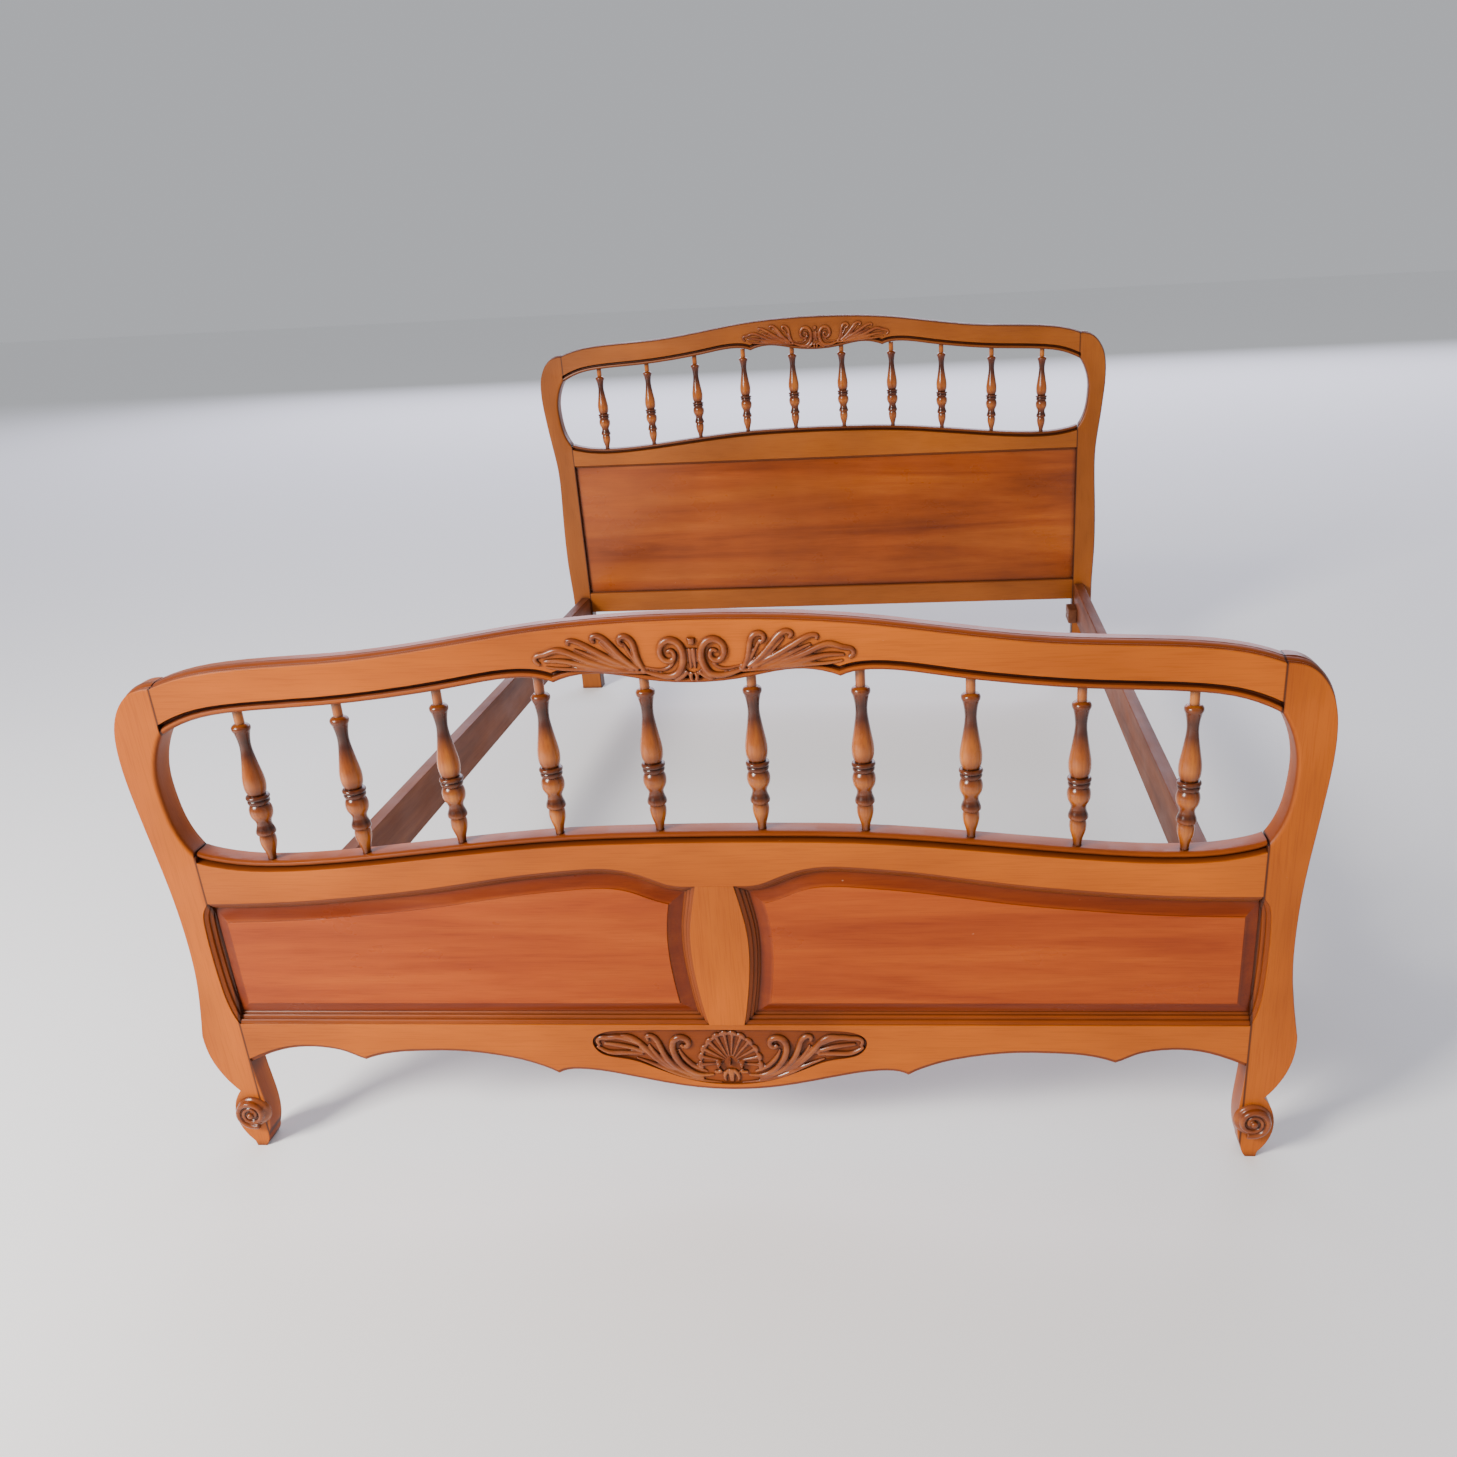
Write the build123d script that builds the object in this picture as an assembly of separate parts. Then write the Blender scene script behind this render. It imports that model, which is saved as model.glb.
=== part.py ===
"""A sleigh bed: two carved boards with turned galleries, joined by plain side rails.

Millimetres. +X is to the right seen from the foot, +Y runs from the foot to the head, +Z is up.
The origin is on the floor, at the middle of the bed. Each board is drawn in the XZ plane with its
front face at y = 0 and its back towards +y, and is then moved to its place.
"""

from build123d import *
import os

# ---------------------------------------------------------------- driving dimensions
FRONT_TO_FRONT = 2070.0        # from the footboard's front face to the headboard's
HEAD_RISE = 237.0              # the headboard's gallery stands this much above the footboard's
POST_THICK = 37.0
RAIL_THICK = 34.0              # cross rails, flush with the posts at the front
JOINT_X = 709.0                # where the curved rails meet the posts, from the middle
INNER_X = 707.0                # the posts' inner edge beside the panels
SCROLL_PROUD = 19.0            # how far the foot volutes stand in front of the footboard

SPINDLES = 10                  # in each board
SPINDLE_PITCH = 135.1
SPINDLE_Y = 18.0               # spindle centres, behind the front face
SPINDLE_LENGTH = 207.0         # between the pins
PIN_SINK = 12.0                # how deep a spindle's ends go into the rails
PIN_FOOT_R = 5.6
PIN_HEAD_R = 6.3
PIN_PLAY = 0.1                 # radial play of a pin in its hole

SIDE_RAIL_THICK = 25.4
SIDE_RAIL_IN = 709.9           # inner face of a side rail, from the middle
SIDE_RAIL_LOW = 188.4
SIDE_RAIL_TOP = 281.8

TENON_LONG = 30.0
TENON_THICK = 12.0
TENON_FRONT = 11.0             # depth of a tenon's front cheek
MORTISE_ROOM = 1.5             # a mortise is this much deeper than its tenon

TONGUE = 8.0                   # panel tongue, in a groove one millimetre deeper
GROOVE_DEEP = 9.0
GROOVE_FRONT = 14.0
TONGUE_THICK = 6.0
FIELD_FRONT = 5.0              # the raised field lies this far behind the rails' face
MOULD = 14.0                   # width and depth of the moulding round the footboard panels

CREST_RISE = 5.0               # top of the crest moulding above its front arris
BEAD_BAND = 13.5               # height of the bead and quirk along the top rail's lower edge
NOSING_DROP = 12.5             # height of the nosing along the middle rail's top edge

FOOT_FRONT_Y = -(FRONT_TO_FRONT + POST_THICK - SCROLL_PROUD) / 2
HEAD_FRONT_Y = FOOT_FRONT_Y + FRONT_TO_FRONT
FOOT = Location((0, FOOT_FRONT_Y, 0))
HEAD = Location((0, HEAD_FRONT_Y, 0))

# ---------------------------------------------------------------- outlines, right half, (x, z)
# The gallery's outlines are shared: the headboard's are HEAD_RISE higher.
CREST_ARRIS = [(0, 798), (110, 795.2), (204, 787.5), (290, 775.5), (380, 762.8), (460, 755),
               (545, 751), (620, 745.8), (680, 735), (709, 725), (722, 719.5)]
TOP_RAIL_WING = [(179.5, 721.8), (195, 727), (216, 729.2), (240, 728.4), (303, 719.2),
                 (385, 707.5), (495, 697.5), (603, 691.5), (660, 682.5), (709, 662), (718, 656.5)]
TOP_RAIL_MIDDLE = [(0, 717.7), (55, 721.5), (95, 729), (125, 732.3), (160, 728.4), (179.5, 721.8)]
MIDDLE_RAIL_TOP = [(0, 511.6), (68, 511.2), (203, 507.5), (338, 496), (473, 482), (560, 475.5),
                   (608, 474.5), (650, 477), (680, 482), (709, 491), (718, 495.5)]
PANEL_ARCH = [(-20, 435), (25.5, 435), (58, 437), (86, 448), (116, 458.3), (150, 462.7), (190, 461),
              (272, 452.5), (382, 436), (492, 423.7), (602, 415.7), (707, 413.5), (740, 413.5)]
OPENING = [(709, 662), (722.5, 636), (731.2, 600), (731, 565), (726.5, 532), (709, 491)]
POST_SHOULDER = [(709, 731), (737, 725), (760, 704), (773, 677), (778.5, 645), (779, 610),
                 (775, 560), (768, 500)]
FOOT_POST_SIDE = [(760, 425), (757, 350), (759.5, 290), (766, 243), (769.5, 205), (766.5, 160),
                  (755, 129), (735, 100)]
HEAD_POST_SIDE = [(759, 425), (758.5, 360), (762.5, 276), (765, 193), (764.5, 128), (762, 75),
                  (761, 0), (762, -110), (764, -HEAD_RISE)]
PANEL_EYE = [(707, 413.5), (716.3, 400), (720.3, 378), (721.5, 340), (720.8, 295), (716, 243),
             (707, 217)]
STILE_ARRIS = [(17, 466), (25.5, 435), (32, 404), (37.5, 372), (39.3, 339), (37.4, 301), (33, 265),
               (24.5, 217), (15, 184)]
APRON_END = [(532.5, 155), (540, 158), (559, 167.5), (583, 174), (611, 176.5), (650, 172.5),
             (682, 162), (707, 150.5), (716, 145.5)]
APRON_WING = [(249.5, 133), (256, 137), (275, 146), (297, 154), (328, 161.5), (361, 167),
              (405, 170.5), (443, 170), (487, 167), (512, 162), (532.5, 155)]
APRON_MIDDLE = [(0, 106.4), (52, 109.5), (91, 116), (157, 131), (187, 137), (212, 139.7),
                (236, 138.5), (249.5, 133)]
BOTTOM_ARRIS_Z = 217.0         # front arris under the footboard panels
HEAD_PANEL_TOP = 661.0
HEAD_PANEL_LOW = 297.0
HEAD_RAIL_LOW = 238.6
HEAD_INNER_X = 705.0
HEAD_PANEL_FRONT = 11.0        # the headboard's flat panel lies this far behind its face
HEAD_LOW_TENON_FRONT = 16.5   # the low tenons lie deeper, clear of the hooks

FOOT_SOLE = [(733, 9), (731, 0), (717, 0), (710, 17)]
FOOT_INSIDE = [(710, 17), (703.5, 42), (702, 70), (704, 100), (706.3, 130), (707, 155)]
VOLUTE_X, VOLUTE_Z, VOLUTE_R = 722.0, 64.0, 26.0
MITRE_OUT, MITRE_UP = 35.5, 30.0      # run of the mitre between stile and rail mouldings

HOOK_X = (SIDE_RAIL_IN + SIDE_RAIL_IN + SIDE_RAIL_THICK) / 2
PLATE_WIDE, PLATE_THICK = 16.0, 2.5
PLATE_LOW, PLATE_TOP = 197.0, 276.0
HOOK_BOTTOMS = [212.0, 246.0]         # undersides of the two hooks' necks
HOOK_TALL, HOOK_DROP, HOOK_NOSE, HOOK_THICK = 12.0, 6.0, 3.5, 4.0
SLOT_TALL, SLOT_PLAY = 20.0, 0.6
POCKET_DEEP, POCKET_WIDE = 11.0, 8.0
SCREW_ZS = [202.0, 237.0, 270.8]
SCREW_R, SCREW_HEAD_R, SCREW_HEAD_TALL = 1.9, 3.8, 2.2

REST_LONG, REST_THICK, REST_LOW, REST_TOP = 70.0, 24.0, 190.0, 228.0
REST_FROM_BOARD = 14.0

# ---------------------------------------------------------------- sections, (n, depth)
# n runs across the edge from the front arris, depth runs back from the front face.
CREST_SECTION = [(-0.5, -0.5), (0.9, 0.9), (0.7, 2.0), (-0.9, 3.0), (0.9, 3.9), (1.9, 5.2), (1.7, 6.6),
                 (-0.1, 8.0), (1.6, 8.8), (3.4, 11.5), (4.3, 15.5), (4.5, 18.0)]
BEAD_SECTION = [(0, 5.2), (1.6, 2.8), (4.0, 1.6), (6.4, 2.2), (8.4, 4.6), (8.8, 7.6), (10.6, 8.2),
                (13.0, 5.0), (13.5, 0)]
NOSING_SECTION = [(0, 10.5), (0.5, 8.2), (2.0, 6.0), (4.2, 5.2), (6.2, 6.0), (7.2, 8.2), (7.4, 10.4),
                  (8.6, 10.2), (11.9, 2.6), (12.5, 0)]
PANEL_SECTION = [(0, 0), (0.5, 2.2), (2.6, 2.6), (5.2, 4.4), (5.6, 7.4), (7.6, 7.6), (10.0, 9.4),
                 (10.6, 12.0), (12.6, 12.2), (13.6, 13.2)]
EDGE_SECTION = [(0, 3.4), (3.6, 3.0), (5.2, 2.0), (5.8, 0)]
HEAD_COVE_SECTION = [(0, 8.0), (1.6, 7.8), (2.2, 5.0), (4.6, 4.4), (6.0, 2.4), (6.6, 0)]
EAVE = 2.0                     # how far cutters overshoot the wood

# Spindle profile between the pins, (radius, height), from the bottom. Sharp corners are where
# one list ends and the next begins.
SPINDLE_PROFILE = [
    [(5.6, 0), (6.7, 10), (9.2, 18), (10.7, 25), (10.8, 32), (9.6, 37.4)],
    [(9.6, 37.4), (12.7, 39.6), (12.8, 42), (11.4, 47), (9.8, 52.5)],
    [(9.8, 52.5), (10.6, 58), (13.2, 63), (15.0, 70), (14.7, 76), (12.0, 82.2)],
    [(12.0, 82.2), (14.2, 85), (14.1, 88), (13.0, 89.6)],
    [(13.0, 89.6), (15.1, 91), (15.2, 93.6), (13.6, 95.4), (10.9, 96)],
    [(10.9, 96), (13.2, 101.5), (14.3, 109), (14.2, 117), (12.6, 128), (10.2, 142), (8.4, 154),
     (7.5, 164), (8.0, 173), (9.4, 181.5), (10.6, 186)],
    [(10.6, 186), (12.1, 189.5), (12.0, 192), (9.2, 195.5), (6.3, 196.6)],
    [(6.3, 196.6), (6.3, SPINDLE_LENGTH)],
]


# ---------------------------------------------------------------- helpers
def raised(points, rise):
    return [(x, z + rise) for x, z in points]


def mirrored(points):
    """The left half of an outline, in the order that runs on into the right half."""
    return [(-x, z) for x, z in reversed(points)]


def smooth(points, start=None, end=None):
    """A spline in the XZ plane, with its end directions where they are given."""
    knots = [Vector(x, 0, z) for x, z in points]
    if start is None:
        return Edge.make_spline(knots)
    return Edge.make_spline(knots, tangents=[Vector(start[0], 0, start[1]), Vector(end[0], 0, end[1])])


def line(first, last):
    """A straight edge in the XZ plane."""
    return Edge.make_line(Vector(first[0], 0, first[1]), Vector(last[0], 0, last[1]))


def across(half):
    """A whole symmetrical edge from the right half of its outline, from left to right."""
    return smooth(mirrored(half[1:]) + half)


def loop(*edges):
    """A closed wire through edges listed in order, with straight lines across the gaps."""
    chain = list(edges[0].edges())
    here = edges[0] @ 1
    for edge in edges[1:]:
        near, far = edge @ 0, edge @ 1
        if (far - here).length < (near - here).length:
            near, far = far, near
        if (near - here).length > 0.001:
            chain.append(Edge.make_line(here, near))
        chain.extend(edge.edges())
        here = far
    if (here - edges[0] @ 0).length > 0.001:
        chain.append(Edge.make_line(here, edges[0] @ 0))
    return Wire(chain)


def prism(wire, front, back):
    """A board of the wire's shape between two depths."""
    face = Face(wire).moved(Location((0, front, 0)))
    return extrude(face, amount=back - front, dir=(0, 1, 0))


def block(x0, x1, y0, y1, z0, z1):
    centre = ((x0 + x1) / 2, (y0 + y1) / 2, (z0 + z1) / 2)
    return Location(centre) * Box(abs(x1 - x0), abs(y1 - y0), abs(z1 - z0))


def fraction_where(edge, before):
    """How far along an edge a condition stops being true, as a fraction of the edge."""
    low, high = 0.0, 1.0
    for _ in range(40):
        middle = (low + high) / 2
        if before(edge @ middle):
            low = middle
        else:
            high = middle
    return low


def fraction_at_x(edge, x):
    """For edges that run from left to right."""
    return fraction_where(edge, lambda point: point.X < x)


def fraction_at_z(edge, z):
    """For edges that run downwards."""
    return fraction_where(edge, lambda point: point.Z > z)


def point_at_x(edge, x):
    return edge @ fraction_at_x(edge, x)


def parallel(edge, distance, samples=24):
    """An edge beside another in the XZ plane; a positive distance is to the right of its run."""
    knots = []
    for i in range(samples + 1):
        side = Vector(0, 1, 0).cross(edge % (i / samples))
        knots.append(edge @ (i / samples) + side * distance)
    return Edge.make_spline(knots)


def stretched(edge, by):
    """An edge run on straight at both ends."""
    start, end = edge @ 0, edge @ 1
    return Wire([Edge.make_line(start - (edge % 0) * by, start), edge,
                 Edge.make_line(end, end + (edge % 1) * by)])


def moulding(path, section, side, overshoot=2.0):
    """The wood that a moulding plane takes off along an edge: everything in front of the section.

    side is 1 where n grows to the right of the edge's run, and -1 where it grows to the left.
    """
    n_axis = Vector(0, 1, 0).cross(path % 0) * side
    plane = Plane(origin=path @ 0, x_dir=n_axis, z_dir=n_axis.cross(Vector(0, 1, 0)))
    first, last = section[0], section[-1]
    if first[1] > last[1]:
        outline = [(first[0] - overshoot, -EAVE), (first[0] - overshoot, first[1])] + section
        outline.append((last[0], -EAVE))
    else:
        outline = [(first[0], -EAVE)] + section
        outline += [(last[0] + overshoot, last[1]), (last[0] + overshoot, -EAVE)]
    profile = plane.location * make_face(Polyline(*outline, close=True))
    return sweep(profile, path=path)


def tenon(x, z0, z1, front=TENON_FRONT, long=TENON_LONG):
    """A rail's tenon, standing out from x into the right post."""
    return block(x, x + long, front, front + TENON_THICK, z0, z1)


def mortise(x, z0, z1, front=TENON_FRONT, long=TENON_LONG):
    return tenon(x, z0, z1, front, long + MORTISE_ROOM)


def mirror_x(shape):
    return mirror(shape, about=Plane.YZ)


def spindle_x(number):
    return (number - (SPINDLES + 1) / 2) * SPINDLE_PITCH


def pin_hole(x, z, radius):
    """A hole for a spindle's pin, bored upright through z and as deep as the pin, with room."""
    return Location((x, SPINDLE_Y, z)) * Cylinder(radius + PIN_PLAY, 2 * (PIN_SINK + 2))


def one_solid(shape):
    """The one piece of wood that is left, without crumbs."""
    return max(shape.solids(), key=lambda solid: solid.volume)


def save(shape, name):
    export_step(shape, f"parts/{name}.step")


# ---------------------------------------------------------------- the gallery both boards share
TOP_TENON = (684.0, 714.0)             # heights of the rails' tenons
MIDDLE_TENON = (428.0, 466.0)
BOTTOM_TENON = (162.0, 194.0)
HEAD_MIDDLE_TENON = (674.0, 708.0)
HEAD_BOTTOM_TENON = (250.0, 284.0)
STILE_TOP_TENON = (434.5, 455.5)
STILE_LOW_TENON = (196.5, 217.5)
STILE_TENON_HALF, STILE_MIDDLE_Z = 15.0, 325.0


def make_top_rail(rise):
    """The arched top rail: a crest moulding above, a quirk and bead below, and two tenons."""
    arris = across(raised(CREST_ARRIS, rise))
    wing = smooth(raised(TOP_RAIL_WING, rise))
    left_wing = mirror_x(wing)
    middle = across(raised(TOP_RAIL_MIDDLE, rise))
    crest = parallel(arris, -CREST_RISE, samples=36)
    rail = prism(loop(crest, wing, middle, left_wing), 0, RAIL_THICK)
    rail -= moulding(arris, CREST_SECTION, -1)
    cusp_x = TOP_RAIL_WING[0][0]
    deep = (-2 * EAVE, RAIL_THICK, 600 + rise, 780 + rise)
    wing_bead = moulding(stretched(wing, 9), BEAD_SECTION, -1) & block(cusp_x, 730, *deep)
    middle_bead = moulding(stretched(middle, 9), BEAD_SECTION, -1) & block(-cusp_x, cusp_x, *deep)
    rail = rail - wing_bead - mirror_x(wing_bead) - middle_bead
    rail &= block(-JOINT_X, JOINT_X, -EAVE, RAIL_THICK + EAVE, 600 + rise, 900 + rise)
    for number in range(1, SPINDLES + 1):
        x = spindle_x(number)
        z = point_at_x(wing if abs(x) > cusp_x else middle, abs(x)).Z
        rail -= pin_hole(x, z, PIN_HEAD_R)
    horn = tenon(JOINT_X, TOP_TENON[0] + rise, TOP_TENON[1] + rise)
    return rail + horn + mirror_x(horn)


def middle_top(rise):
    """The right half of a middle rail's top edge."""
    return smooth(raised(MIDDLE_RAIL_TOP, rise), (1, 0), (2, 1))


def nosed(rail, top, end):
    """Plane the nosing along a middle rail's top edge, trim its ends and bore it for spindles."""
    for number in range(1, SPINDLES + 1):
        x = spindle_x(number)
        rail -= pin_hole(x, point_at_x(top, abs(x)).Z, PIN_FOOT_R)
    shavings = moulding(top, NOSING_SECTION, 1)
    rail = rail - shavings - mirror_x(shavings)
    return one_solid(rail & block(-end, end, -EAVE, RAIL_THICK + EAVE, 100, 900))


def make_spindle(number, rise):
    """A turned spindle: lower tip, three rings and a ball, a long vase, a collar and a neck."""
    outline = [Edge.make_line((0, 0, -PIN_SINK), (PIN_FOOT_R, 0, -PIN_SINK)),
               Edge.make_line((PIN_FOOT_R, 0, -PIN_SINK), (PIN_FOOT_R, 0, 0))]
    for stretch in SPINDLE_PROFILE:
        knots = [Vector(r, 0, z) for r, z in stretch]
        outline.append(Edge.make_spline(knots) if len(knots) > 2 else Edge.make_line(*knots))
    top = SPINDLE_LENGTH + PIN_SINK
    outline += [Edge.make_line((PIN_HEAD_R, 0, SPINDLE_LENGTH), (PIN_HEAD_R, 0, top)),
                Edge.make_line((PIN_HEAD_R, 0, top), (0, 0, top)),
                Edge.make_line((0, 0, top), (0, 0, -PIN_SINK))]
    turned = revolve(Face(Wire(outline)), axis=Axis.Z)
    x = spindle_x(number)
    z = point_at_x(middle_top(rise), abs(x)).Z
    return Location((x, SPINDLE_Y, z)) * turned


def eased(post, edge, front_radius, back_radius):
    """Round a post's edges along one line of its outline, at the front and at the back."""
    for depth, radius in ((0, front_radius), (POST_THICK, back_radius)):
        middle = edge @ 0.5 + Vector(0, depth, 0)
        nearest = min(post.edges(), key=lambda e: e.distance_to(middle))
        post = fillet(nearest, radius)
    return post


# ---------------------------------------------------------------- footboard
def panel_arch():
    return smooth(PANEL_ARCH, (1, 0), (1, 0))


def stile_arris():
    return smooth(STILE_ARRIS)


def window(grow, front, back):
    """The right panel opening at the foot of the moulding, grown all round, between two depths."""
    arch = parallel(panel_arch(), MOULD - grow)
    side = parallel(stile_arris(), grow - MOULD)
    low, high = 0.0, 0.2
    for _ in range(40):
        corner = (low + high) / 2
        if (arch @ corner).X < (side @ fraction_at_z(side, (arch @ corner).Z)).X:
            low = corner
        else:
            high = corner
    bottom_z = BOTTOM_ARRIS_Z + MOULD - grow
    top_edge = arch.trim(low, fraction_at_x(arch, INNER_X + grow))
    side_edge = side.trim(fraction_at_z(side, (arch @ low).Z), fraction_at_z(side, bottom_z))
    right_edge = line((INNER_X + grow, (top_edge @ 1).Z), (INNER_X + grow, bottom_z))
    corner = side_edge @ 1
    bottom_edge = line((INNER_X + grow, bottom_z), (corner.X, corner.Z))
    outline = loop(top_edge, right_edge, bottom_edge, side_edge)
    return one_solid(prism(outline, front, back))


def stile_zone():
    """The mitred outline where the stile's moulding meets those of the rails."""
    top, low = STILE_ARRIS[1], STILE_ARRIS[-2]
    corners = [(top[0], top[1]), (top[0] + MITRE_OUT, top[1] - MITRE_UP),
               (low[0] + MITRE_OUT, low[1] + MITRE_UP), (low[0], low[1])]
    ring = corners + [(-x, z) for x, z in reversed(corners)]
    edges = [line(a, b) for a, b in zip(ring, ring[1:] + ring[:1])]
    return prism(Wire(edges), -EAVE, POST_THICK)


def stile_tenon(z0, z1, room=0.0):
    """One of the stile's tenons, or its mortise with some room at the far end."""
    low, top = (z0 - room, z1) if z1 < STILE_MIDDLE_Z else (z0, z1 + room)
    return block(-STILE_TENON_HALF, STILE_TENON_HALF, TENON_FRONT, TENON_FRONT + TENON_THICK, low, top)


def make_foot_middle_rail(grooves):
    """Nosed along its curved top, and arched and moulded over each panel."""
    top = middle_top(0)
    sight = parallel(panel_arch(), MOULD)
    sight = sight.trim(fraction_at_x(sight, 10), 1)
    rail = prism(loop(top, sight, mirror_x(sight), mirror_x(top)), 0, RAIL_THICK)
    arch_cut = moulding(panel_arch(), PANEL_SECTION, 1)
    rail = rail - arch_cut - mirror_x(arch_cut) - stile_zone()
    for groove in grooves:
        rail -= groove
    rail = nosed(one_solid(rail), top, INNER_X) - stile_tenon(*STILE_TOP_TENON, MORTISE_ROOM)
    horn = tenon(INNER_X, *MIDDLE_TENON)
    return rail + horn + mirror_x(horn)


def make_foot_bottom_rail(grooves):
    """Moulded along its straight top edge, with a scalloped and rebated lower edge."""
    end = smooth(APRON_END)
    wing = smooth(APRON_WING)
    middle = across(APRON_MIDDLE)
    top_z = BOTTOM_ARRIS_Z + MOULD
    rail = prism(loop(line((-716, top_z), (716, top_z)), end, wing, middle,
                      mirror_x(wing), mirror_x(end)), 0, RAIL_THICK)
    rail -= moulding(line((-720, BOTTOM_ARRIS_Z), (720, BOTTOM_ARRIS_Z)), PANEL_SECTION, -1)
    deep = (-2 * EAVE, RAIL_THICK, 80, 200)
    inner_cusp, outer_cusp = APRON_WING[0][0], APRON_END[0][0]
    end_bead = moulding(stretched(end, 5), EDGE_SECTION, -1) & block(outer_cusp, 730, *deep)
    wing_bead = moulding(stretched(wing, 5), EDGE_SECTION, -1) & block(inner_cusp, outer_cusp, *deep)
    middle_bead = moulding(stretched(middle, 5), EDGE_SECTION, -1)
    middle_bead &= block(-inner_cusp, inner_cusp, *deep)
    for bead in (end_bead, wing_bead):
        rail = rail - bead - mirror_x(bead)
    rail = rail - middle_bead - stile_zone()
    for groove in grooves:
        rail -= groove
    rail = one_solid(rail) & block(-INNER_X, INNER_X, -EAVE, RAIL_THICK + EAVE, 80, 300)
    rail -= stile_tenon(*STILE_LOW_TENON, MORTISE_ROOM)
    horn = tenon(INNER_X, *BOTTOM_TENON)
    return rail + horn + mirror_x(horn)


def make_centre_stile(grooves):
    """The short stile between the panels: barrel-shaped, moulded both sides, with two tenons."""
    sight = parallel(stile_arris(), -MOULD)
    stile = prism(loop(sight, mirror_x(sight)), 0, RAIL_THICK) & stile_zone()
    side_cut = moulding(stile_arris(), PANEL_SECTION, -1)
    stile = stile - side_cut - mirror_x(side_cut)
    for groove in grooves:
        stile -= groove
    return one_solid(stile) + stile_tenon(*STILE_TOP_TENON) + stile_tenon(*STILE_LOW_TENON)


def make_foot_panel():
    """A raised and fielded panel: a flat field, a small step, and a wide bevel to a thin tongue."""
    panel = window(TONGUE, FIELD_FRONT, GROOVE_FRONT + TONGUE_THICK)
    bevel = [(0, GROOVE_FRONT), (17, 7.2), (18.2, 6.8), (18.6, FIELD_FRONT), (18.6, FIELD_FRONT - 1)]
    reach = TONGUE + 2
    arch = parallel(panel_arch(), MOULD)
    beside = parallel(stile_arris(), -MOULD)
    bottom_z = BOTTOM_ARRIS_Z + MOULD
    panel -= moulding(arch, bevel, 1, reach)
    panel -= moulding(beside, bevel, -1, reach)
    panel -= moulding(line((-40, bottom_z), (800, bottom_z)), bevel, -1, reach)
    panel -= moulding(line((INNER_X, 150), (INNER_X, 520)), bevel, -1, reach)
    return one_solid(panel)


def volute_post_outline():
    """The foot post's outline: shoulder, waist, knee and ankle, the volute, and the small sole."""
    outer = smooth(POST_SHOULDER + FOOT_POST_SIDE)
    volute = Edge.make_three_point_arc(outer @ 1, Vector(VOLUTE_X + VOLUTE_R + 3, 0, VOLUTE_Z),
                                       Vector(FOOT_SOLE[0][0], 0, FOOT_SOLE[0][1]))
    heel = smooth([FOOT_SOLE[2], (712.5, 7), FOOT_SOLE[3]])
    inside = smooth(FOOT_INSIDE)
    return outer, volute, heel, inside


def make_foot_post(hardware_cuts, groove):
    """The right foot post: moulded outer arris, rounded gallery edge, an eye beside the panel."""
    outer, volute, heel, inside = volute_post_outline()
    sole = line(FOOT_SOLE[1], FOOT_SOLE[2])
    opening = smooth(OPENING)
    post = prism(loop(outer, volute, line(FOOT_SOLE[0], FOOT_SOLE[1]), sole, heel, inside,
                      line((INNER_X, 155), (INNER_X, 485)), line((JOINT_X, 485), (JOINT_X, 491)),
                      opening), 0, POST_THICK)
    post = eased(post, opening, 6.0, 4.0)
    run_out = [(771, 215), (778, 180)]
    shoulder = smooth([(695, 731.5)] + POST_SHOULDER + FOOT_POST_SIDE[:4] + run_out)
    post -= moulding(parallel(shoulder, CREST_RISE, samples=60), CREST_SECTION, -1)
    post -= moulding(smooth([(697, 424)] + PANEL_EYE + [(697, 206)]), PANEL_SECTION, 1, 6.0)
    post -= groove
    post -= mortise(JOINT_X, *TOP_TENON)
    post -= mortise(INNER_X, *MIDDLE_TENON)
    post -= mortise(INNER_X, *BOTTOM_TENON)
    return one_solid(post - hardware_cuts)


def make_foot_volute():
    """The block glued to the front of the foot and turned into a volute round a small eye."""
    profile = [[(0, -SCROLL_PROUD), (3.2, -SCROLL_PROUD + 0.8), (5.4, -SCROLL_PROUD + 3.4)],
               [(5.4, -SCROLL_PROUD + 3.4), (8.6, -SCROLL_PROUD + 2.6), (11.8, -SCROLL_PROUD + 4.0),
                (13.4, -SCROLL_PROUD + 7.0)],
               [(13.4, -SCROLL_PROUD + 7.0), (17.0, -SCROLL_PROUD + 6.0), (21.0, -SCROLL_PROUD + 8.0),
                (23.4, -8.0), (24.6, -4.0), (VOLUTE_R, 0)]]
    edges = []
    for stretch in profile:
        edges.append(Edge.make_spline([Vector(r, y, 0) for r, y in stretch]))
    edges.append(Edge.make_line((VOLUTE_R, 0, 0), (0, 0, 0)))
    edges.append(Edge.make_line((0, 0, 0), (0, -SCROLL_PROUD, 0)))
    turned = revolve(Face(Wire(edges)), axis=Axis.Y)
    return Location((VOLUTE_X, 0, VOLUTE_Z)) * turned


# ---------------------------------------------------------------- headboard
def make_head_middle_rail(groove):
    top = middle_top(HEAD_RISE)
    bottom = line((718, HEAD_PANEL_TOP), (-718, HEAD_PANEL_TOP))
    rail = prism(loop(top, bottom, mirror_x(top)), 0, RAIL_THICK)
    rail -= moulding(line((-720, HEAD_PANEL_TOP), (720, HEAD_PANEL_TOP)), HEAD_COVE_SECTION, -1)
    rail = nosed(one_solid(rail - groove), top, HEAD_INNER_X)
    horn = tenon(HEAD_INNER_X, *HEAD_MIDDLE_TENON)
    return rail + horn + mirror_x(horn)


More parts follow.
